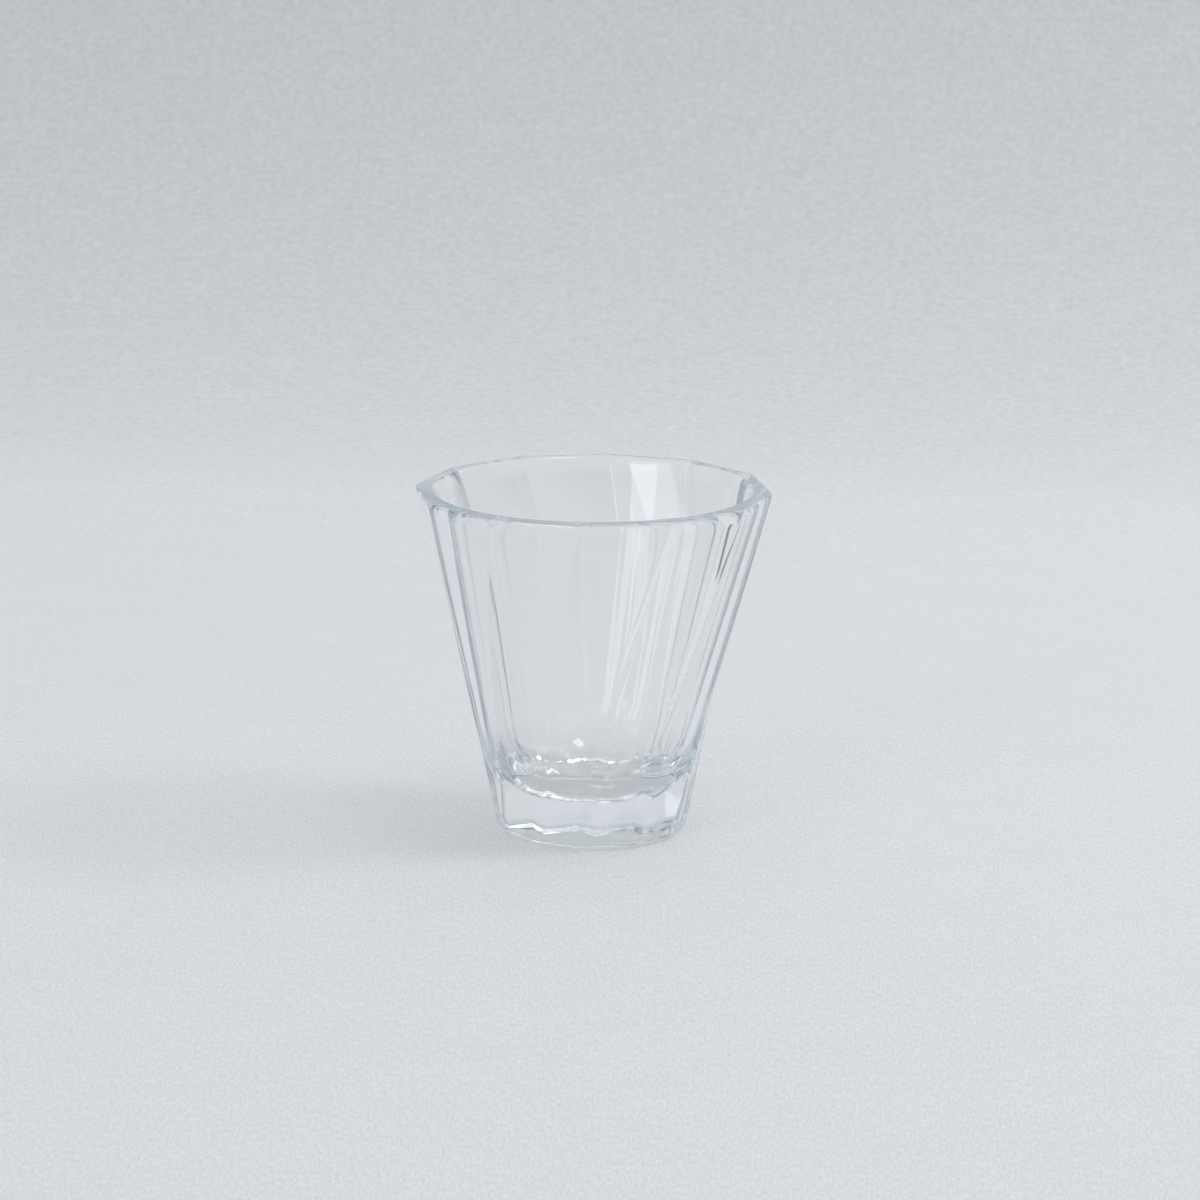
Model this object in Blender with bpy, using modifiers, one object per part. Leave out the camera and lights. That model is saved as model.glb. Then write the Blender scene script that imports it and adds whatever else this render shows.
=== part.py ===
"""Cappuccino glass: one piece of clear pressed glass, in metres, +Z up, standing on Z = 0.

Twelve facets run from a twelve-sided rim down to a smaller twelve-sided foot. Every edge
between two facets climbs from one corner of the foot to the next corner of the rim with a
nearly even turn, so the facets lean round the glass and twist by one facet on the way up. The
inside is a plain round cone that ends in a bowl, above a thick clear base.
"""

import math

import bmesh
import bpy
from mathutils import Matrix

# Outside: two twelve-sided outlines, one over the other
HEIGHT = 0.085
FACETS = 12
RIM_CORNER_RADIUS = 0.0438
FOOT_CORNER_RADIUS = 0.0235
TWIST = math.tau / FACETS
TWIST_STEADINESS = 0.8
FACET_SLICES = 12

# Rounding that the mould and the fire polishing leave on the outer edges
FACET_EDGE_ROUNDING = 0.0009
RIM_ROUNDING = 0.0010
HEEL_ROUNDING = 0.0016
ROUNDING_SEGMENTS = 3

# Inside: a round cone with a rounded lip, and a floor corner so wide that it makes a bowl
CAVITY_RIM_RADIUS = 0.0382
CAVITY_FOOT_RADIUS = 0.0208
BASE_THICKNESS = 0.0105
FLOOR_CORNER_RADIUS = 0.021
LIP_ROUNDING = 0.0009
CAVITY_STEPS = 96
CORNER_POINTS = 9
LIP_POINTS = 4
LIP_ARC_START = math.radians(100)
CUT_CLEARANCE = 0.002

SAME_HEIGHT = 0.00001
AXIS_MERGE = 0.00005
SHARP_ANGLE = math.radians(40)
GLASS_COLOUR = (0.94, 0.97, 0.98, 1.0)
GLASS_ROUGHNESS = 0.02
GLASS_IOR = 1.52


def clear_scene():
    for item in list(bpy.data.objects):
        bpy.data.objects.remove(item, do_unlink=True)


def new_collection(name):
    collection = bpy.data.collections.new(name)
    bpy.context.scene.collection.children.link(collection)
    return collection


def glass_material():
    material = bpy.data.materials.new("clear_glass")
    material.use_nodes = True
    shader = material.node_tree.nodes["Principled BSDF"]
    shader.inputs["Base Color"].default_value = GLASS_COLOUR
    shader.inputs["Roughness"].default_value = GLASS_ROUGHNESS
    shader.inputs["Metallic"].default_value = 0.0
    shader.inputs["Transmission Weight"].default_value = 1.0
    shader.inputs["IOR"].default_value = GLASS_IOR
    return material


def outer_rounding(edge):
    """The width of the rounding on one edge of the faceted body."""
    low, high = sorted(vertex.co.z for vertex in edge.verts)
    if low > HEIGHT - SAME_HEIGHT:
        return RIM_ROUNDING
    if high < SAME_HEIGHT:
        return HEEL_ROUNDING
    is_level = high - low < SAME_HEIGHT
    return 0.0 if is_level else FACET_EDGE_ROUNDING


def straight_turn(height):
    """How far a straight line from a foot corner to its rim corner has turned at one height."""
    share = height / HEIGHT
    along = FOOT_CORNER_RADIUS * (1 - share) + RIM_CORNER_RADIUS * share * math.cos(TWIST)
    across = RIM_CORNER_RADIUS * share * math.sin(TWIST)
    return math.atan2(across, along)


def steadying_turn(height):
    """The turn that brings one level of the straight edges nearer to an even twist."""
    return TWIST_STEADINESS * (TWIST * height / HEIGHT - straight_turn(height))


def faceted_body(name, collection):
    """The solid twisted cone of the outside, before the inside is taken out."""
    bm = bmesh.new()
    bmesh.ops.create_cone(
        bm,
        cap_ends=True,
        cap_tris=False,
        segments=FACETS,
        radius1=FOOT_CORNER_RADIUS,
        radius2=RIM_CORNER_RADIUS,
        depth=HEIGHT,
        matrix=Matrix.Translation((0, 0, HEIGHT / 2)),
    )
    rim = [vertex for vertex in bm.verts if vertex.co.z > HEIGHT / 2]
    bmesh.ops.rotate(bm, verts=rim, cent=(0, 0, 0), matrix=Matrix.Rotation(TWIST, 3, "Z"))
    leaning = [edge for edge in bm.edges if abs(edge.verts[0].co.z - edge.verts[1].co.z) > HEIGHT / 2]
    bmesh.ops.subdivide_edges(bm, edges=leaning, cuts=FACET_SLICES - 1, use_grid_fill=True)
    for vertex in bm.verts:
        vertex.co.rotate(Matrix.Rotation(steadying_turn(vertex.co.z), 3, "Z"))

    widest = max(FACET_EDGE_ROUNDING, RIM_ROUNDING, HEEL_ROUNDING)
    weight = bm.edges.layers.float.new("bevel_weight_edge")
    for edge in bm.edges:
        edge[weight] = outer_rounding(edge) / widest

    mesh = bpy.data.meshes.new(name)
    bm.to_mesh(mesh)
    bm.free()
    body = bpy.data.objects.new(name, mesh)
    collection.objects.link(body)

    rounding = body.modifiers.new("edge_rounding", "BEVEL")
    rounding.limit_method = "WEIGHT"
    rounding.width = widest
    rounding.segments = ROUNDING_SEGMENTS
    rounding.use_clamp_overlap = True
    return body


def arc(centre, radius, start, end, count):
    """Points (radius from the axis, height) along a circular arc, both ends included."""
    points = []
    for step in range(count + 1):
        angle = start + (end - start) * step / count
        points.append((centre[0] + radius * math.cos(angle), centre[1] + radius * math.sin(angle)))
    return points


def cavity_profile():
    """Half of the inside's section, from the axis above the rim, down the wall, to the floor."""
    lean = math.atan2(CAVITY_RIM_RADIUS - CAVITY_FOOT_RADIUS, HEIGHT - BASE_THICKNESS)
    # The lip's arc is tangent to the wall and stops short of level, so that it crosses the rim
    lip_centre = (
        CAVITY_RIM_RADIUS + LIP_ROUNDING / math.cos(lean) - LIP_ROUNDING * math.tan(lean),
        HEIGHT - LIP_ROUNDING,
    )
    lip = arc(lip_centre, LIP_ROUNDING, LIP_ARC_START, math.pi - lean, LIP_POINTS)
    # The floor corner's arc is tangent to the wall and to the floor
    corner_height = BASE_THICKNESS + FLOOR_CORNER_RADIUS
    wall_there = CAVITY_FOOT_RADIUS + FLOOR_CORNER_RADIUS * math.tan(lean)
    corner_centre = (wall_there - FLOOR_CORNER_RADIUS / math.cos(lean), corner_height)
    corner = arc(corner_centre, FLOOR_CORNER_RADIUS, -lean, -math.pi / 2, CORNER_POINTS)
    top = HEIGHT + CUT_CLEARANCE
    return [(0.0, top), (lip[0][0], top)] + lip + corner + [(0.0, BASE_THICKNESS)]


def cavity_cutter(name, collection):
    """The round inside as a solid of revolution."""
    points = cavity_profile()
    mesh = bpy.data.meshes.new(name)
    spans = [(index, index + 1) for index in range(len(points) - 1)]
    mesh.from_pydata([(radius, 0.0, height) for radius, height in points], spans, [])
    cutter = bpy.data.objects.new(name, mesh)
    collection.objects.link(cutter)
    turning = cutter.modifiers.new("turning", "SCREW")
    turning.axis = "Z"
    turning.steps = CAVITY_STEPS
    turning.render_steps = CAVITY_STEPS
    turning.use_merge_vertices = True
    turning.merge_threshold = AXIS_MERGE
    cutter.hide_render = True
    cutter.display_type = "WIRE"
    return cutter


def build_glass():
    parts = new_collection("cappuccino_glass")
    cutters = new_collection("cutters")
    tumbler = faceted_body("tumbler", parts)
    cutter = cavity_cutter("inside_cutter", cutters)
    hollow = tumbler.modifiers.new("inside", "BOOLEAN")
    hollow.operation = "DIFFERENCE"
    hollow.solver = "EXACT"
    hollow.object = cutter
    tumbler.data.materials.append(glass_material())
    tumbler.data.shade_smooth()
    tumbler.data.set_sharp_from_angle(angle=SHARP_ANGLE)
    return tumbler


clear_scene()
build_glass()
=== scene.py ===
# %% [markdown]
# # A twelve-sided cappuccino glass
# The object is one piece of clear pressed glass: a thick flat foot, twelve facets that lean and
# twist one step round on their way up, and a round bowl inside. A solid like this could be cut
# from a block or turned on a lathe, but only the bowl is round. So the facets are bridged between
# two rings, and everything else is drawn out of their open ends, ring after ring.

# %% Load the measured frame
import math

import bmesh
import bpy
from mathutils import Matrix, Vector


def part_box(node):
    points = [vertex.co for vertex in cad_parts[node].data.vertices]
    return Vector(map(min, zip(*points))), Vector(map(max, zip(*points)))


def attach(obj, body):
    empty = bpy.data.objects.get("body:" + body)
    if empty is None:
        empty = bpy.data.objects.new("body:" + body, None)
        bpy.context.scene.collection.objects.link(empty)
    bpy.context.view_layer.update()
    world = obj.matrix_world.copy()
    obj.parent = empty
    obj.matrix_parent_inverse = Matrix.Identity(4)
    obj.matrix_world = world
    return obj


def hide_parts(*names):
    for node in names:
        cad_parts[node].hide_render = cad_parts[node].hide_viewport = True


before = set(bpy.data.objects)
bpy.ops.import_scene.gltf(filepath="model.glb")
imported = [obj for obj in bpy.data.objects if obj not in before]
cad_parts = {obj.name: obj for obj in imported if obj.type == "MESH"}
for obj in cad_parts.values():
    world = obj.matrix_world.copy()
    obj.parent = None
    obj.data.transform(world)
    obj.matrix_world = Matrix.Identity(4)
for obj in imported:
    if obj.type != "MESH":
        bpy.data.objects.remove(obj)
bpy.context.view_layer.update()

scene = bpy.context.scene
GLASS_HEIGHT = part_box("tumbler")[1][2]
print("nodes:", sorted(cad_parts), "height of the glass:", round(GLASS_HEIGHT, 4))

# %% [markdown]
# ## The camera
# The glass is seen from a little above, about a metre away, through a long lens that keeps its
# sides nearly parallel. A camera could be aimed with a Track To constraint, but then its small
# roll would be lost. Its three axes are worked out here and written into its matrix.

# %% Place the camera
CAMERA_DISTANCE = 12.0 * GLASS_HEIGHT
CAMERA_PITCH = math.radians(14.07)
CAMERA_LIFT = math.radians(0.799)
CAMERA_YAW = math.radians(0.103)
CAMERA_ROLL = math.radians(0.31)
CAMERA_AZIMUTH = math.radians(4.57)
LENS_MM = 125.05
SENSOR_MM = 36.0

eye = Vector((0.0, -math.cos(CAMERA_PITCH), math.sin(CAMERA_PITCH))) * CAMERA_DISTANCE
eye.z += GLASS_HEIGHT / 2
gaze = CAMERA_LIFT - CAMERA_PITCH
ahead = Vector((math.sin(CAMERA_YAW), math.cos(CAMERA_YAW), 0.0)) * math.cos(gaze)
ahead.z = math.sin(gaze)
level_right = Vector((math.cos(CAMERA_YAW), -math.sin(CAMERA_YAW), 0.0))
level_up = level_right.cross(ahead)
right = math.cos(CAMERA_ROLL) * level_right + math.sin(CAMERA_ROLL) * level_up
up = math.cos(CAMERA_ROLL) * level_up - math.sin(CAMERA_ROLL) * level_right
camera_turn = Matrix((right, up, -ahead)).transposed().to_4x4()

bpy.ops.object.select_all(action="DESELECT")
bpy.ops.object.camera_add()
camera = bpy.context.object
camera.name = "camera"
camera.matrix_world = Matrix.Rotation(CAMERA_AZIMUTH, 4, "Z") @ Matrix.Translation(eye) @ camera_turn
camera.data.sensor_width = SENSOR_MM
camera.data.lens = LENS_MM
scene.camera = camera
print("camera at", [round(value, 3) for value in camera.matrix_world.translation])

# %% [markdown]
# ## The two plan rings
# Seen from above, the glass is a regular twelve-sided figure whose corners are rounded, softly
# near the foot and more tightly at the rim. A circle of twelve points is that figure. Bevelling
# its points rounds the corners, and cutting its long sides gives both rings the same number of
# points along each facet, so that they can be bridged.

# %% Draw the foot ring and the rim ring
FACETS = 12
FACET_ANGLE = math.tau / FACETS
FOOT_CORNER_RADIUS = 0.02354
RIM_CORNER_RADIUS = 0.0438
FOOT_EDGE_ROUNDING = 0.0080
RIM_EDGE_ROUNDING = 0.0030
ROUNDING_STEPS = 8
ROUNDING_PROFILE = 0.556
SIDE_CUTS = 11


def draw_plan_ring(corner_radius, height, rounding):
    """Add a twelve-sided ring with rounded corners and return its object."""
    bpy.ops.object.select_all(action="DESELECT")
    bpy.ops.mesh.primitive_circle_add(
        vertices=FACETS, radius=corner_radius, fill_type="NOTHING", location=(0.0, 0.0, height)
    )
    ring = bpy.context.object
    bpy.ops.object.transform_apply(location=True, rotation=True, scale=True)
    bpy.ops.object.mode_set(mode="EDIT")
    bpy.ops.mesh.select_mode(type="VERT")
    bpy.ops.mesh.select_all(action="SELECT")
    setback = rounding * math.tan(FACET_ANGLE / 2)
    bpy.ops.mesh.bevel(
        offset=setback, segments=ROUNDING_STEPS, profile=ROUNDING_PROFILE, affect="VERTICES"
    )
    bpy.ops.mesh.select_mode(type="EDGE")
    bpy.ops.mesh.select_all(action="DESELECT")
    ring_mesh = bmesh.from_edit_mesh(ring.data)
    lengths = [edge.calc_length() for edge in ring_mesh.edges]
    halfway = (min(lengths) + max(lengths)) / 2
    for edge in ring_mesh.edges:
        if edge.calc_length() > halfway:
            edge.select_set(True)
    bmesh.update_edit_mesh(ring.data)
    bpy.ops.mesh.subdivide(number_cuts=SIDE_CUTS)
    bpy.ops.object.mode_set(mode="OBJECT")
    print("ring at height", round(height, 4), "with", len(ring.data.vertices), "points")
    return ring


foot_ring = draw_plan_ring(FOOT_CORNER_RADIUS, 0.0, FOOT_EDGE_ROUNDING)
rim_ring = draw_plan_ring(RIM_CORNER_RADIUS, GLASS_HEIGHT, RIM_EDGE_ROUNDING)

# %% [markdown]
# ## The twisting facets
# Every edge of the real glass starts at a corner of the foot and ends at the next corner of the
# rim, so each facet is a gently warped strip. Twelve strips could be made by hand, but one bridge
# between the rings makes them all. Its twist offset moves the join on by one facet.

# %% Bridge the rings one facet on
POINTS_PER_FACET = ROUNDING_STEPS + 1 + SIDE_CUTS
BRIDGE_START_SHIFT = 1
HEIGHT_CUTS = 40

bpy.ops.object.select_all(action="DESELECT")
rim_ring.select_set(True)
foot_ring.select_set(True)
bpy.context.view_layer.objects.active = foot_ring
bpy.ops.object.join()
glass = bpy.context.object
glass.name = "glass_body"
glass.data.name = "glass_body"
bpy.ops.object.mode_set(mode="EDIT")
bpy.ops.mesh.select_mode(type="EDGE")
bpy.ops.mesh.select_all(action="SELECT")
bpy.ops.mesh.bridge_edge_loops(
    number_cuts=HEIGHT_CUTS,
    interpolation="LINEAR",
    twist_offset=POINTS_PER_FACET - BRIDGE_START_SHIFT,
)
facet_mesh = bmesh.from_edit_mesh(glass.data)
print("bridged facets:", len(facet_mesh.verts), "points,", len(facet_mesh.faces), "faces")

# %% [markdown]
# ## Room for the heel and the rim
# The facets run the whole height for now, but the real glass is rounded where it meets the table
# and where it meets the lips. Bisect cuts both ends square and throws the offcuts away, which
# leaves two open loops to draw the roundings from.

# %% Cut the ends of the facets
HEEL_HEIGHT = 0.0022
RIM_DROP = 0.0019

bpy.ops.mesh.select_all(action="SELECT")
bpy.ops.mesh.bisect(
    plane_co=(0.0, 0.0, HEEL_HEIGHT), plane_no=(0.0, 0.0, 1.0), clear_inner=True
)
bpy.ops.mesh.select_all(action="SELECT")
bpy.ops.mesh.bisect(
    plane_co=(0.0, 0.0, GLASS_HEIGHT - RIM_DROP), plane_no=(0.0, 0.0, 1.0), clear_outer=True
)
facet_mesh = bmesh.from_edit_mesh(glass.data)
facet_heights = [vertex.co.z for vertex in facet_mesh.verts]
print("facets from", round(min(facet_heights), 4), "to", round(max(facet_heights), 4))

# %% [markdown]
# ## Evening out the twist
# A straight bridge turns quickly near the narrow foot and slowly near the wide rim. The edges of
# the real glass look steadier than that, as if its mould was cut on a turning table. So each level
# of points is turned back a little about the axis, by most of the gap between the straight law and
# an even one.

# %% Turn each level to the steadier law
TWIST = FACET_ANGLE
TWIST_STEADINESS = 0.8
SAME_HEIGHT = 1e-5


def edge_place(height):
    """Give the plan radius and turn of a facet edge of the straight bridge at one height."""
    share = height / GLASS_HEIGHT
    along = FOOT_CORNER_RADIUS * (1.0 - share) + RIM_CORNER_RADIUS * share * math.cos(TWIST)
    across = RIM_CORNER_RADIUS * share * math.sin(TWIST)
    return math.hypot(along, across), math.atan2(across, along)


def turn_correction(height):
    """Give how far a level has to turn to follow the steadier twist."""
    straight_turn = edge_place(height)[1]
    return TWIST_STEADINESS * (TWIST * height / GLASS_HEIGHT - straight_turn)


def turn_selected(angle, height):
    """Turn what is selected anticlockwise about the axis, as seen from above."""
    bpy.ops.transform.rotate(
        value=-angle, orient_axis="Z", center_override=(0.0, 0.0, height)
    )


bpy.ops.mesh.select_mode(type="VERT")
for height in sorted({round(value, 6) for value in facet_heights}):
    bpy.ops.mesh.select_all(action="DESELECT")
    facet_mesh = bmesh.from_edit_mesh(glass.data)
    for vertex in facet_mesh.verts:
        if abs(vertex.co.z - height) < SAME_HEIGHT:
            vertex.select_set(True)
    bmesh.update_edit_mesh(glass.data)
    turn_selected(turn_correction(height), height)
print("middle level turned by", round(math.degrees(turn_correction(GLASS_HEIGHT / 2)), 2), "degrees")

# %% [markdown]
# ## The heel and the underside
# The heel is the rounded corner that the glass stands on. It follows the facets, so it is drawn
# from their lower loop: extrude a ring, lower it, shrink it, and again. The steps follow a quarter
# of an ellipse, higher than it is deep. A bevel would do it too, but only as a circle.

# %% A helper that draws one more ring
HALF_FACET_COS = math.cos(FACET_ANGLE / 2)


def select_open_ring(height):
    """Select the open loop of edges at one height."""
    bpy.ops.mesh.select_mode(type="EDGE")
    bpy.ops.mesh.select_all(action="DESELECT")
    ring_mesh = bmesh.from_edit_mesh(glass.data)
    for edge in ring_mesh.edges:
        heights = [abs(vertex.co.z - height) for vertex in edge.verts]
        if edge.is_boundary and max(heights) < SAME_HEIGHT:
            edge.select_set(True)
    bmesh.update_edit_mesh(glass.data)


def draw_next_ring(before, after):
    """Extrude the selected loop from one (radius, height) to the next."""
    rise = after[1] - before[1]
    growth = after[0] / before[0]
    bpy.ops.mesh.extrude_edges_move(TRANSFORM_OT_translate={"value": (0.0, 0.0, rise)})
    bpy.ops.transform.resize(
        value=(growth, growth, 1.0), center_override=(0.0, 0.0, after[1])
    )


def facet_ring(height, setback):
    """Give the (corner radius, height) of a facet ring that is set back from the facets."""
    return edge_place(height)[0] - setback / HALF_FACET_COS, height


# %% Round the heel and close the underside
HEEL_SETBACK = 0.0012
HEEL_STEPS = 10
UNDERSIDE_SETBACKS = (0.0015, 0.0032, 0.0080, 0.0140, 0.0200)

select_open_ring(HEEL_HEIGHT)
ring_now = facet_ring(HEEL_HEIGHT, 0.0)
for step in range(1, HEEL_STEPS + 1):
    angle = math.pi / 2 * step / HEEL_STEPS
    height = HEEL_HEIGHT * (1.0 - math.sin(angle))
    ring_next = facet_ring(height, HEEL_SETBACK * (1.0 - math.cos(angle)))
    draw_next_ring(ring_now, ring_next)
    turn_before = edge_place(ring_now[1])[1] + turn_correction(ring_now[1])
    turn_after = edge_place(height)[1] + turn_correction(height)
    turn_selected(turn_after - turn_before, height)
    ring_now = ring_next
for setback in UNDERSIDE_SETBACKS:
    ring_next = facet_ring(0.0, setback)
    draw_next_ring(ring_now, ring_next)
    ring_now = ring_next
bpy.ops.mesh.merge(type="CENTER")
print("heel set back", HEEL_SETBACK, "over", HEEL_HEIGHT, "and the underside closed flat")

# %% [markdown]
# ## The rim
# At the top the facets end in a blunt rounding, taller than it is deep, and a flat that is narrow
# in the middle of each facet and wide at its corners, because outside it has twelve sides and
# inside it is round. The last ring is turned into a true circle with To Sphere, which keeps each
# point's direction.

# %% Round the outer rim and turn the ring into a circle
RIM_SETBACK = 0.0009
RIM_STEPS = 8
RIM_FLAT = 0.0002
BOWL_RIM_RADIUS = 0.0382
LIP_SETBACK = 0.0009

select_open_ring(GLASS_HEIGHT - RIM_DROP)
ring_now = facet_ring(GLASS_HEIGHT - RIM_DROP, 0.0)
for step in range(1, RIM_STEPS + 1):
    angle = math.pi / 2 * step / RIM_STEPS
    height = GLASS_HEIGHT - RIM_DROP * (1.0 - math.sin(angle))
    ring_next = facet_ring(height, RIM_SETBACK * (1.0 - math.cos(angle)))
    draw_next_ring(ring_now, ring_next)
    ring_now = ring_next
ring_next = facet_ring(GLASS_HEIGHT, RIM_SETBACK + RIM_FLAT)
draw_next_ring(ring_now, ring_next)
ring_now = ring_next

lip_top = (BOWL_RIM_RADIUS + LIP_SETBACK + RIM_FLAT, GLASS_HEIGHT)
draw_next_ring(ring_now, lip_top)
bpy.ops.transform.tosphere(value=1.0)
rim_mesh = bmesh.from_edit_mesh(glass.data)
round_radius = max(vertex.co.xy.length for vertex in rim_mesh.verts if vertex.select)
correction = lip_top[0] / round_radius
bpy.ops.transform.resize(
    value=(correction, correction, 1.0), center_override=(0.0, 0.0, GLASS_HEIGHT)
)
print("round lip of radius", round(lip_top[0], 4), "corrected by", round(correction, 4))

# %% [markdown]
# ## The lip and the bowl
# Inside, the lip falls away in a tall soft curve, the wall is a plain cone, and a wide round corner
# leads into a small flat floor over the thick base. Spin could turn this profile, but the rim ring
# already has the right points, so the same ring helper follows the profile downwards.

# %% List the profile of the inside
FLOOR_HEIGHT = 0.0105
BOWL_FOOT_RADIUS = 0.0208
FLOOR_CORNER_RADIUS = 0.021
LIP_DROP = 0.0042
LIP_STEPS = 12
WALL_STEPS = 24
CORNER_STEPS = 14
FLOOR_SHARES = (0.98, 0.8, 0.6, 0.4, 0.2, 0.05)

wall_lean = math.atan2(BOWL_RIM_RADIUS - BOWL_FOOT_RADIUS, GLASS_HEIGHT - FLOOR_HEIGHT)
lip_foot_radius = BOWL_RIM_RADIUS - LIP_DROP * math.tan(wall_lean)
inside = []
for step in range(LIP_STEPS + 1):
    angle = math.pi / 2 * (1.0 - step / LIP_STEPS)
    climb = LIP_DROP * math.sin(angle)
    flare = LIP_SETBACK * (1.0 - math.cos(angle))
    radius = lip_foot_radius + climb * math.tan(wall_lean) + flare
    inside.append((radius, GLASS_HEIGHT - LIP_DROP + climb))

corner_centre = (
    BOWL_FOOT_RADIUS + FLOOR_CORNER_RADIUS * (math.tan(wall_lean) - 1.0 / math.cos(wall_lean)),
    FLOOR_HEIGHT + FLOOR_CORNER_RADIUS,
)
corner = []
for step in range(CORNER_STEPS + 1):
    angle = -wall_lean + (wall_lean - math.pi / 2) * step / CORNER_STEPS
    corner.append(
        (
            corner_centre[0] + FLOOR_CORNER_RADIUS * math.cos(angle),
            corner_centre[1] + FLOOR_CORNER_RADIUS * math.sin(angle),
        )
    )
wall_top = inside[-1]
wall_foot = corner[0]
for step in range(1, WALL_STEPS):
    share = step / WALL_STEPS
    inside.append(
        (
            wall_top[0] + (wall_foot[0] - wall_top[0]) * share,
            wall_top[1] + (wall_foot[1] - wall_top[1]) * share,
        )
    )
inside.extend(corner)
inside.extend((corner[-1][0] * share, FLOOR_HEIGHT) for share in FLOOR_SHARES)
print("inside profile of", len(inside), "rings, wall lean", round(math.degrees(wall_lean), 2))

# %% Draw the inside and close the solid
SAME_POINT = 1e-6
ML_PER_CUBIC_METRE = 1e6

ring_now = lip_top
for ring_next in inside:
    draw_next_ring(ring_now, ring_next)
    ring_now = ring_next
bpy.ops.mesh.merge(type="CENTER")
bpy.ops.mesh.select_all(action="SELECT")
bpy.ops.mesh.remove_doubles(threshold=SAME_POINT)
bpy.ops.mesh.normals_make_consistent(inside=False)
glass_mesh = bmesh.from_edit_mesh(glass.data)
open_edges = sum(1 for edge in glass_mesh.edges if len(edge.link_faces) != 2)
glass_volume = glass_mesh.calc_volume(signed=True)
bpy.ops.object.mode_set(mode="OBJECT")
bpy.ops.object.shade_smooth()
bpy.ops.object.modifier_add(type="WEIGHTED_NORMAL")
bpy.ops.object.modifier_apply(modifier=glass.modifiers[-1].name)
print("glass:", len(glass.data.vertices), "points,", open_edges, "open edges")
print("volume of glass:", round(glass_volume * ML_PER_CUBIC_METRE, 1), "ml")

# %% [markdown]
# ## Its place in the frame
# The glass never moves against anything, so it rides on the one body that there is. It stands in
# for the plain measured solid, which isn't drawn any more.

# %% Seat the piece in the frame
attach(glass, "root")
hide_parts("tumbler")
print(glass.name, "rides on root in place of tumbler")

# %% [markdown]
# ## The finish of the glass
# Pressed soda glass is clear, with a faint cold tint that shows only along thick edges, and its
# skin keeps fine upright draw marks from the mould. The tint comes from absorption inside the
# volume, not from a painted colour. Two stretched noises give the skin its marks through a bump,
# and one of them also makes its gloss a little uneven.

# %% A small helper for nodes
def add_node(tree, kind, **values):
    """Add a shader node and set the named inputs on it."""
    node = tree.nodes.new(kind)
    for name, value in values.items():
        node.inputs[name.replace("_", " ")].default_value = value
    return node


# %% The draw marks of pressed glass, as a group
DRAW_MARK_STRETCH = (420.0, 420.0, 22.0)
FLOW_STRETCH = (70.0, 70.0, 40.0)

marks = bpy.data.node_groups.new("pressed_glass_skin", "ShaderNodeTree")
marks.interface.new_socket(name="Flow Share", in_out="INPUT", socket_type="NodeSocketFloat")
marks.interface.new_socket(name="Height", in_out="OUTPUT", socket_type="NodeSocketFloat")
marks.interface.new_socket(name="Mask", in_out="OUTPUT", socket_type="NodeSocketFloat")
marks_in = marks.nodes.new("NodeGroupInput")
marks_out = marks.nodes.new("NodeGroupOutput")
place = marks.nodes.new("ShaderNodeTexCoord")
upright = add_node(marks, "ShaderNodeMapping", Scale=DRAW_MARK_STRETCH)
flowing = add_node(marks, "ShaderNodeMapping", Scale=FLOW_STRETCH)
fine_noise = add_node(marks, "ShaderNodeTexNoise", Scale=1.0, Detail=2.0)
flow_noise = add_node(marks, "ShaderNodeTexNoise", Scale=1.0, Detail=1.0)
blend = marks.nodes.new("ShaderNodeMix")
marks.links.new(place.outputs["Object"], upright.inputs["Vector"])
marks.links.new(place.outputs["Object"], flowing.inputs["Vector"])
marks.links.new(upright.outputs["Vector"], fine_noise.inputs["Vector"])
marks.links.new(flowing.outputs["Vector"], flow_noise.inputs["Vector"])
marks.links.new(marks_in.outputs["Flow Share"], blend.inputs["Factor"])
marks.links.new(fine_noise.outputs["Fac"], blend.inputs["A"])
marks.links.new(flow_noise.outputs["Fac"], blend.inputs["B"])
marks.links.new(blend.outputs["Result"], marks_out.inputs["Height"])
marks.links.new(flow_noise.outputs["Fac"], marks_out.inputs["Mask"])
print("node group", marks.name, "with", len(marks.nodes), "nodes")

# %% The clear glass material
GLASS_IOR = 1.5
GLASS_TINT = (0.64, 0.765, 0.84, 1.0)
GLASS_TINT_DENSITY = 4.0
CLEAREST = (1.0, 1.0, 1.0, 1.0)
FAINTLY_COOL = (0.985, 0.992, 0.995, 1.0)
SMOOTHEST = 0.045
LEAST_SMOOTH = 0.085
FLOW_SHARE = 0.6
GLOSS_MASK_START = 0.45
MARK_STRENGTH = 0.0015
MARK_DEPTH = 0.0002

clear_glass = bpy.data.materials.new("clear_pressed_glass")
clear_glass.use_nodes = True
tree = clear_glass.node_tree
shader = tree.nodes["Principled BSDF"]
shader.inputs["Transmission Weight"].default_value = 1.0
shader.inputs["IOR"].default_value = GLASS_IOR
skin = tree.nodes.new("ShaderNodeGroup")
skin.node_tree = marks
skin.inputs["Flow Share"].default_value = FLOW_SHARE
tint = tree.nodes.new("ShaderNodeMix")
tint.data_type = "RGBA"
tint.inputs["A"].default_value = CLEAREST
tint.inputs["B"].default_value = FAINTLY_COOL
gloss = add_node(
    tree,
    "ShaderNodeMapRange",
    From_Min=GLOSS_MASK_START,
    To_Min=SMOOTHEST,
    To_Max=LEAST_SMOOTH,
)
bump = add_node(tree, "ShaderNodeBump", Strength=MARK_STRENGTH, Distance=MARK_DEPTH)
absorb = add_node(
    tree, "ShaderNodeVolumeAbsorption", Color=GLASS_TINT, Density=GLASS_TINT_DENSITY
)
tree.links.new(skin.outputs["Mask"], tint.inputs["Factor"])
tree.links.new(skin.outputs["Mask"], gloss.inputs["Value"])
tree.links.new(skin.outputs["Height"], bump.inputs["Height"])
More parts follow.
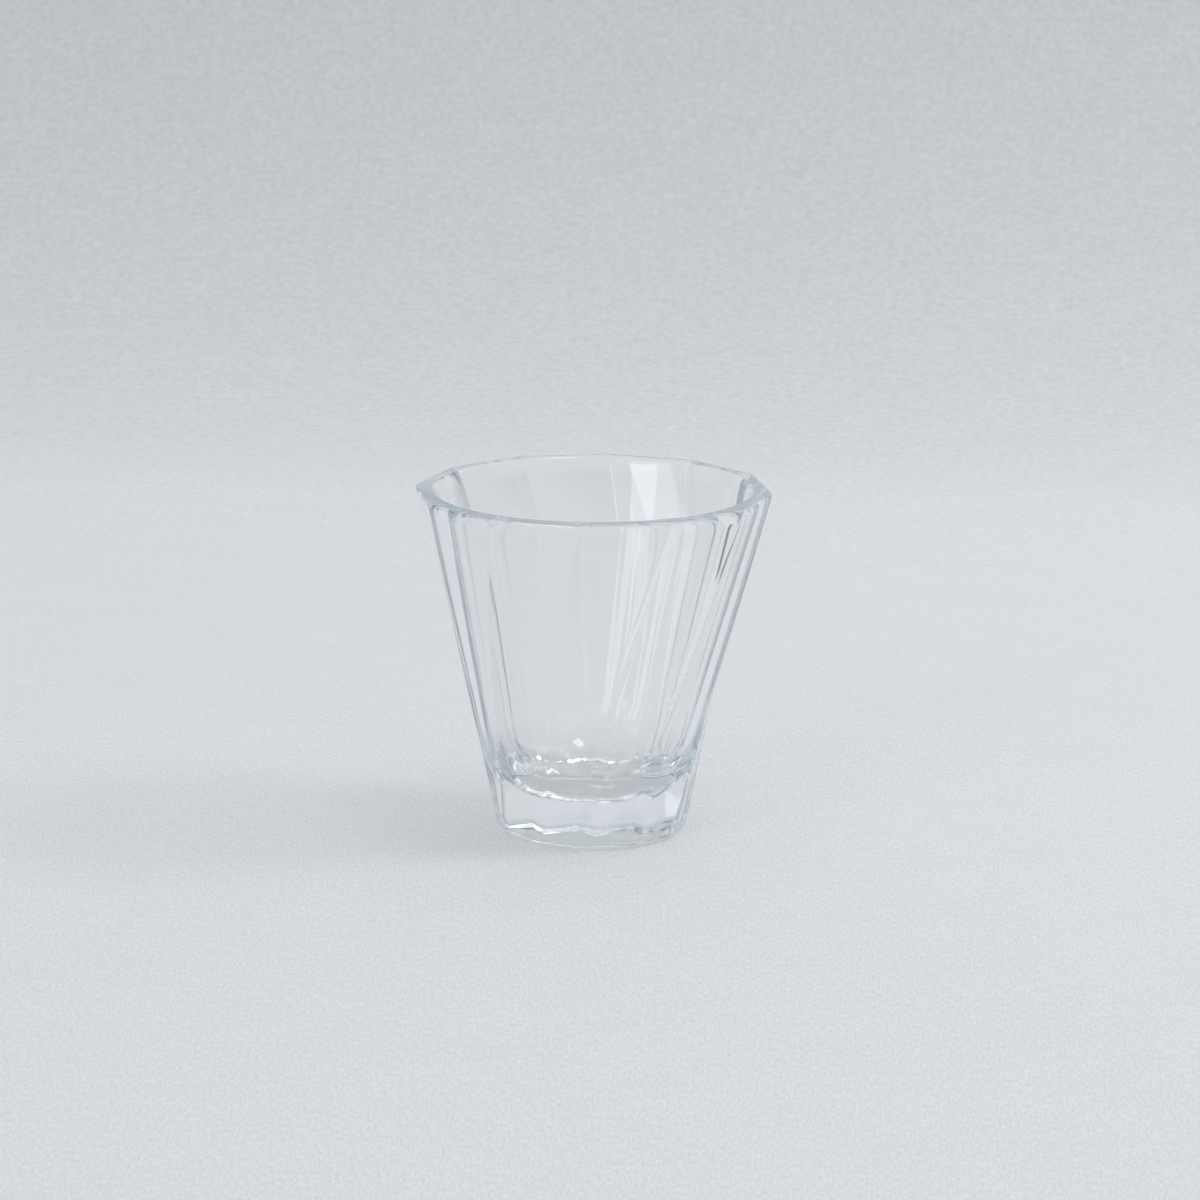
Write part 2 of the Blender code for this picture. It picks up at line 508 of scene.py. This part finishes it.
tree.links.new(tint.outputs["Result"], shader.inputs["Base Color"])
tree.links.new(gloss.outputs["Result"], shader.inputs["Roughness"])
tree.links.new(bump.outputs["Normal"], shader.inputs["Normal"])
tree.links.new(absorb.outputs["Volume"], tree.nodes["Material Output"].inputs["Volume"])
glass.data.materials.clear()
glass.data.materials.append(clear_glass)
print("material", clear_glass.name, "on", glass.name)

# %% [markdown]
# ## The paper under the glass
# The glass stands on a sheet of pale card that curves up behind it, so there is no horizon line.
# A plane is the floor. Its back edge is spun up a quarter turn for the curve and extruded on as
# the wall. It belongs to the stage and not to the object.

# %% Bend the sheet
PAPER_HALF_WIDTH = 1.2
PAPER_FRONT = -1.6
PAPER_BEND_START = 0.45
PAPER_BEND_RADIUS = 0.35
PAPER_TOP = 0.9
PAPER_GAP = 0.00005
BEND_STEPS = 24

bpy.ops.object.select_all(action="DESELECT")
bpy.ops.mesh.primitive_plane_add(size=1.0)
paper = bpy.context.object
paper.name = "paper_sweep"
bpy.ops.object.mode_set(mode="EDIT")
bpy.ops.mesh.select_all(action="SELECT")
floor_length = PAPER_BEND_START - PAPER_FRONT
bpy.ops.transform.resize(value=(2.0 * PAPER_HALF_WIDTH, floor_length, 1.0))
bpy.ops.transform.translate(
    value=(0.0, (PAPER_FRONT + PAPER_BEND_START) / 2, -PAPER_GAP)
)
bpy.ops.mesh.select_mode(type="EDGE")
bpy.ops.mesh.select_all(action="DESELECT")
paper_mesh = bmesh.from_edit_mesh(paper.data)
for edge in paper_mesh.edges:
    if min(vertex.co.y for vertex in edge.verts) > PAPER_BEND_START - SAME_HEIGHT:
        edge.select_set(True)
bmesh.update_edit_mesh(paper.data)
bpy.ops.mesh.spin(
    steps=BEND_STEPS,
    angle=-math.pi / 2,
    center=(0.0, PAPER_BEND_START, PAPER_BEND_RADIUS - PAPER_GAP),
    axis=(1.0, 0.0, 0.0),
)
wall_rise = PAPER_TOP - PAPER_BEND_RADIUS
bpy.ops.mesh.extrude_edges_move(TRANSFORM_OT_translate={"value": (0.0, 0.0, wall_rise)})
bpy.ops.object.mode_set(mode="OBJECT")
bpy.ops.object.shade_smooth()
print("paper reaches", [round(value, 3) for value in paper.dimensions])

# %% [markdown]
# ## The finish of the paper
# The card is a cool off-white with a faint mottling and an embossed tooth, and a painted shade
# darkens it towards the back, where the wall gets less light. Part of its tone is its own even
# glow. Both hold for the camera and for rays that pass through the glass or bounce off it. That
# keeps the background pale, also in the glass, while the rest of the tone comes from the lamps, so
# the glass still has its shadow.

# %% The colour of the card, with a painted shade towards the back
CARD_COOL = (0.806, 0.828, 0.858, 1.0)
CARD_WARM = (0.842, 0.858, 0.884, 1.0)
# colour of the painted shade, multiplied into the card towards the back where the wall gets less
# light
PAINTED_BACK_SHADE = (0.79, 0.805, 0.795, 1.0)
SHADE_START = 0.39
SHADE_END = 0.73
MOTTLE_SCALE = 45.0
GRAIN_STRETCH = (1900.0, 480.0, 1900.0)
PEBBLE_SCALE = 420.0
PEBBLE_START = 0.1
GRAIN_DARKEST = 0.89
GRAIN_LIGHTEST = 1.11

card = bpy.data.materials.new("pale_card")
card.use_nodes = True
tree = card.node_tree
place = tree.nodes.new("ShaderNodeTexCoord")
mottle = add_node(tree, "ShaderNodeTexNoise", Scale=MOTTLE_SCALE, Detail=4.0)
tone = tree.nodes.new("ShaderNodeMix")
tone.data_type = "RGBA"
tone.inputs["A"].default_value = CARD_COOL
tone.inputs["B"].default_value = CARD_WARM
grain_place = add_node(tree, "ShaderNodeMapping", Scale=GRAIN_STRETCH)
grain = add_node(tree, "ShaderNodeTexNoise", Scale=1.0, Detail=0.0)
pebble = add_node(tree, "ShaderNodeTexNoise", Scale=PEBBLE_SCALE, Detail=1.0)
pebble_share = add_node(tree, "ShaderNodeMapRange", From_Min=PEBBLE_START, From_Max=SHADE_START)
surface = tree.nodes.new("ShaderNodeMix")
relief = add_node(tree, "ShaderNodeMapRange", To_Min=GRAIN_DARKEST, To_Max=GRAIN_LIGHTEST)
grained = tree.nodes.new("ShaderNodeMix")
grained.data_type = "RGBA"
grained.blend_type = "MULTIPLY"
grained.inputs["Factor"].default_value = 1.0
axes = tree.nodes.new("ShaderNodeSeparateXYZ")
# mask of the painted shade: it grows from the bend up to the upper wall
depth = add_node(tree, "ShaderNodeMapRange", From_Min=SHADE_START, From_Max=SHADE_END)
rays = tree.nodes.new("ShaderNodeLightPath")
seen_or_bent = tree.nodes.new("ShaderNodeMath")
seen_or_bent.operation = "MAXIMUM"
painted_shade_factor = tree.nodes.new("ShaderNodeMath")
painted_shade_factor.operation = "MULTIPLY"
# painted shade: darkens the card towards the back for the camera and for rays off or through the
# glass
shade = tree.nodes.new("ShaderNodeMix")
shade.data_type = "RGBA"
shade.blend_type = "MULTIPLY"
shade.inputs["B"].default_value = PAINTED_BACK_SHADE
tree.links.new(place.outputs["Object"], mottle.inputs["Vector"])
tree.links.new(place.outputs["Object"], axes.inputs["Vector"])
tree.links.new(mottle.outputs["Fac"], tone.inputs["Factor"])
tree.links.new(axes.outputs["Y"], depth.inputs["Value"])
tree.links.new(depth.outputs["Result"], painted_shade_factor.inputs[0])
tree.links.new(rays.outputs["Is Camera Ray"], seen_or_bent.inputs[0])
tree.links.new(rays.outputs["Is Glossy Ray"], seen_or_bent.inputs[1])
tree.links.new(seen_or_bent.outputs["Value"], painted_shade_factor.inputs[1])
tree.links.new(painted_shade_factor.outputs["Value"], shade.inputs["Factor"])
tree.links.new(place.outputs["Object"], grain_place.inputs["Vector"])
tree.links.new(grain_place.outputs["Vector"], grain.inputs["Vector"])
tree.links.new(place.outputs["Object"], pebble.inputs["Vector"])
tree.links.new(axes.outputs["Y"], pebble_share.inputs["Value"])
tree.links.new(pebble_share.outputs["Result"], surface.inputs["Factor"])
tree.links.new(grain.outputs["Fac"], surface.inputs["A"])
tree.links.new(pebble.outputs["Fac"], surface.inputs["B"])
tree.links.new(surface.outputs["Result"], relief.inputs["Value"])
tree.links.new(tone.outputs["Result"], grained.inputs["A"])
tree.links.new(relief.outputs["Result"], grained.inputs["B"])
tree.links.new(grained.outputs["Result"], shade.inputs["A"])
print("card colour from", len(tree.nodes), "nodes")

# %% The tooth and the even glow of the card
CARD_ROUGHNESS = 0.9
CARD_SPECULAR = 0.2
CARD_GLOW = 0.815
GLOW_SHARE_SEEN = 0.62
GLOW_SHARE_NEAR = 0.55
GLOW_SHARE_FAR = 0.90
GLOW_EXTRA_THROUGH = 0.045
TOOTH_SCALE = 320.0
TOOTH_DEPTH = 0.0005
TOOTH_STRENGTH = 0.35

shader = tree.nodes["Principled BSDF"]
shader.inputs["Roughness"].default_value = CARD_ROUGHNESS
shader.inputs["Specular IOR Level"].default_value = CARD_SPECULAR
tooth = add_node(tree, "ShaderNodeTexNoise", Scale=TOOTH_SCALE, Detail=3.0)
bump = add_node(tree, "ShaderNodeBump", Strength=TOOTH_STRENGTH, Distance=TOOTH_DEPTH)
through_or_off = tree.nodes.new("ShaderNodeMath")
through_or_off.operation = "MAXIMUM"
share_by_depth = add_node(
    tree, "ShaderNodeMapRange", From_Max=SHADE_START, To_Min=GLOW_SHARE_NEAR, To_Max=GLOW_SHARE_FAR
)
share_through = tree.nodes.new("ShaderNodeMath")
share_through.operation = "MULTIPLY"
share_seen = tree.nodes.new("ShaderNodeMath")
share_seen.operation = "MULTIPLY"
share_seen.inputs[1].default_value = GLOW_SHARE_SEEN
glow_share = tree.nodes.new("ShaderNodeMath")
glow_share.operation = "MAXIMUM"
glow_strength = tree.nodes.new("ShaderNodeMath")
glow_strength.operation = "MULTIPLY_ADD"
glow_strength.inputs[1].default_value = GLOW_EXTRA_THROUGH
glow_strength.inputs[2].default_value = CARD_GLOW
glow = tree.nodes.new("ShaderNodeEmission")
mixed = tree.nodes.new("ShaderNodeMixShader")
tree.links.new(place.outputs["Object"], tooth.inputs["Vector"])
tree.links.new(tooth.outputs["Fac"], bump.inputs["Height"])
tree.links.new(bump.outputs["Normal"], shader.inputs["Normal"])
tree.links.new(shade.outputs["Result"], shader.inputs["Base Color"])
tree.links.new(shade.outputs["Result"], glow.inputs["Color"])
tree.links.new(rays.outputs["Is Transmission Ray"], through_or_off.inputs[0])
tree.links.new(rays.outputs["Is Glossy Ray"], through_or_off.inputs[1])
tree.links.new(axes.outputs["Y"], share_by_depth.inputs["Value"])
tree.links.new(share_by_depth.outputs["Result"], share_through.inputs[1])
tree.links.new(through_or_off.outputs["Value"], share_through.inputs[0])
tree.links.new(rays.outputs["Is Camera Ray"], share_seen.inputs[0])
tree.links.new(share_through.outputs["Value"], glow_share.inputs[0])
tree.links.new(share_seen.outputs["Value"], glow_share.inputs[1])
tree.links.new(through_or_off.outputs["Value"], glow_strength.inputs[0])
tree.links.new(glow_strength.outputs["Value"], glow.inputs["Strength"])
tree.links.new(glow_share.outputs["Value"], mixed.inputs["Fac"])
tree.links.new(shader.outputs["BSDF"], mixed.inputs[1])
tree.links.new(glow.outputs["Emission"], mixed.inputs[2])
tree.links.new(mixed.outputs["Shader"], tree.nodes["Material Output"].inputs["Surface"])
paper.data.materials.append(card)
print("material", card.name, "on", paper.name)

# %% [markdown]
# ## Soft studio light
# A tall window to the left, a little cooler than the rest, draws the bright streaks in the wall of
# the glass, and a small lamp to the right makes one highlight low in the bowl. Area lamps are used,
# because they are hidden from the camera but show in the glass. A broad softbox overhead lights the
# card evenly, and it is left out of mirror reflections, so the rim keeps its grey. A fourth lamp
# only throws the shadow to the left, so it is hidden from the glass altogether.

# %% Hang the lamps
LAMP_TARGET = Vector((0.0, 0.0, 0.05))
LAMP_COLOUR = (1.0, 0.99, 0.97)
WINDOW_COLOUR = (0.90, 0.92, 1.0)
RADIANCE_TO_WATTS = 4.0


def hang_lamp(name, azimuth, elevation, distance, width, height, radiance):
    """Hang a rectangular lamp that looks at the glass, brightness given as radiance."""
    heading = math.radians(azimuth)
    tilt = math.radians(elevation)
    towards = Vector(
        (
            math.sin(heading) * math.cos(tilt),
            -math.cos(heading) * math.cos(tilt),
            math.sin(tilt),
        )
    )
    bpy.ops.object.select_all(action="DESELECT")
    bpy.ops.object.light_add(type="AREA", location=LAMP_TARGET + distance * towards)
    lamp = bpy.context.object
    lamp.name = name
    lamp.rotation_euler = towards.to_track_quat("Z", "Y").to_euler()
    lamp.data.shape = "RECTANGLE"
    lamp.data.size = width
    lamp.data.size_y = height
    lamp.data.color = LAMP_COLOUR
    lamp.data.energy = RADIANCE_TO_WATTS * width * height * radiance
    print(name, "of", round(lamp.data.energy, 2), "watts")
    return lamp


window = hang_lamp(
    "window_left",
    azimuth=-36.0,
    elevation=14.0,
    distance=1.6,
    width=0.56,
    height=1.2,
    radiance=2.15,
)
window.data.color = WINDOW_COLOUR
softbox = hang_lamp(
    "softbox_above",
    azimuth=90.0,
    elevation=80.0,
    distance=1.4,
    width=2.2,
    height=2.2,
    radiance=0.51,
)
softbox.visible_glossy = False
hang_lamp(
    "lamp_right",
    azimuth=60.0,
    elevation=74.0,
    distance=1.5,
    width=0.30,
    height=0.46,
    radiance=4.8,
)
side_light = hang_lamp(
    "side_light",
    azimuth=94.0,
    elevation=38.0,
    distance=1.5,
    width=0.42,
    height=0.32,
    radiance=13.0,
)
side_light.visible_glossy = False
side_light.visible_transmission = False

# %% [markdown]
# ## Dark flags
# Clear glass on a pale sheet loses its edges, so photographers stand dark cards beside it, just out
# of the picture. The glass bends them into thin dark strokes along its sides. Here one low block
# and two upright ones do that work. They throw no shadow, and they show only to light that the
# glass has reflected at least once. So the sheet stays plain, also where it is seen through the
# glass from another side.

# %% Set the flags beside the glass
FLAG_DARKEST = (0.160, 0.185, 0.200, 1.0)
FLAG_LIGHTEST = (0.250, 0.280, 0.300, 1.0)
FLAG_GRAIN = 30.0
HALF_A_BOUNCE = 0.5
RIGHT_FLAG_LOW = (0.150, 0.085, 0.0002)
RIGHT_FLAG_HIGH = (0.210, 0.125, 0.0008)
LEFT_FLAG_LOW = (-0.352, -0.10, 0.0002)
LEFT_FLAG_HIGH = (-0.350, 0.200, 0.240)
SIDE_FLAG_LOW = (0.350, -0.10, 0.0002)
SIDE_FLAG_HIGH = (0.352, 0.300, 0.240)

flag_felt = bpy.data.materials.new("dark_felt")
flag_felt.use_nodes = True
tree = flag_felt.node_tree
place = tree.nodes.new("ShaderNodeTexCoord")
felt_noise = add_node(tree, "ShaderNodeTexNoise", Scale=FLAG_GRAIN, Detail=3.0)
felt_tone = tree.nodes.new("ShaderNodeMix")
felt_tone.data_type = "RGBA"
felt_tone.inputs["A"].default_value = FLAG_DARKEST
felt_tone.inputs["B"].default_value = FLAG_LIGHTEST
tree.links.new(place.outputs["Object"], felt_noise.inputs["Vector"])
tree.links.new(felt_noise.outputs["Fac"], felt_tone.inputs["Factor"])
tree.links.new(felt_tone.outputs["Result"], tree.nodes["Principled BSDF"].inputs["Base Color"])
rays = tree.nodes.new("ShaderNodeLightPath")
bounced = tree.nodes.new("ShaderNodeMath")
bounced.operation = "GREATER_THAN"
bounced.inputs[1].default_value = HALF_A_BOUNCE
unseen = tree.nodes.new("ShaderNodeBsdfTransparent")
mixed = tree.nodes.new("ShaderNodeMixShader")
tree.links.new(rays.outputs["Glossy Depth"], bounced.inputs[0])
tree.links.new(bounced.outputs["Value"], mixed.inputs["Fac"])
tree.links.new(unseen.outputs["BSDF"], mixed.inputs[1])
tree.links.new(tree.nodes["Principled BSDF"].outputs["BSDF"], mixed.inputs[2])
tree.links.new(mixed.outputs["Shader"], tree.nodes["Material Output"].inputs["Surface"])


def set_flag(name, low, high):
    """Set a thin dark block between two corners, hidden from the camera."""
    bpy.ops.object.select_all(action="DESELECT")
    bpy.ops.mesh.primitive_cube_add(size=1.0)
    flag = bpy.context.object
    flag.name = name
    bpy.ops.object.mode_set(mode="EDIT")
    bpy.ops.mesh.select_all(action="SELECT")
    bpy.ops.transform.resize(value=Vector(high) - Vector(low))
    bpy.ops.transform.translate(value=(Vector(high) + Vector(low)) / 2)
    bpy.ops.object.mode_set(mode="OBJECT")
    flag.data.materials.append(flag_felt)
    flag.visible_camera = False
    flag.visible_diffuse = False
    flag.visible_shadow = False
    print(name, "of", [round(value, 4) for value in flag.dimensions])


set_flag("flag_right", RIGHT_FLAG_LOW, RIGHT_FLAG_HIGH)
set_flag("flag_left", LEFT_FLAG_LOW, LEFT_FLAG_HIGH)
set_flag("flag_side", SIDE_FLAG_LOW, SIDE_FLAG_HIGH)

# %% [markdown]
# ## The room round the stage
# Past the sheet there is only a dim, slightly blue room. The glass mirrors it faintly in its upper
# facets, and that gives the clear wall some body. A picture of a room could be wrapped round the
# scene, but one even colour is enough and brings no strange shapes into the glass.

# %% A dim cool room
ROOM_COLOUR = (0.80, 0.91, 1.0, 1.0)
ROOM_STRENGTH = 0.25

room = bpy.data.worlds.new("dim_room")
scene.world = room
room.use_nodes = True
room.node_tree.nodes["Background"].inputs["Color"].default_value = ROOM_COLOUR
room.node_tree.nodes["Background"].inputs["Strength"].default_value = ROOM_STRENGTH
print("room at strength", ROOM_STRENGTH)

# %% [markdown]
# ## Long light paths
# Light that enters a thick faceted glass bounces many times before it finds its way out. With
# few bounces such paths end black, and the edges would show hard dark lines, so more are allowed.

# %% Set the view and the bounces
LIGHT_BOUNCES = 64

scene.view_settings.view_transform = "Standard"
scene.cycles.max_bounces = LIGHT_BOUNCES
scene.cycles.transmission_bounces = LIGHT_BOUNCES
scene.cycles.glossy_bounces = LIGHT_BOUNCES
print("up to", scene.cycles.max_bounces, "bounces of light")
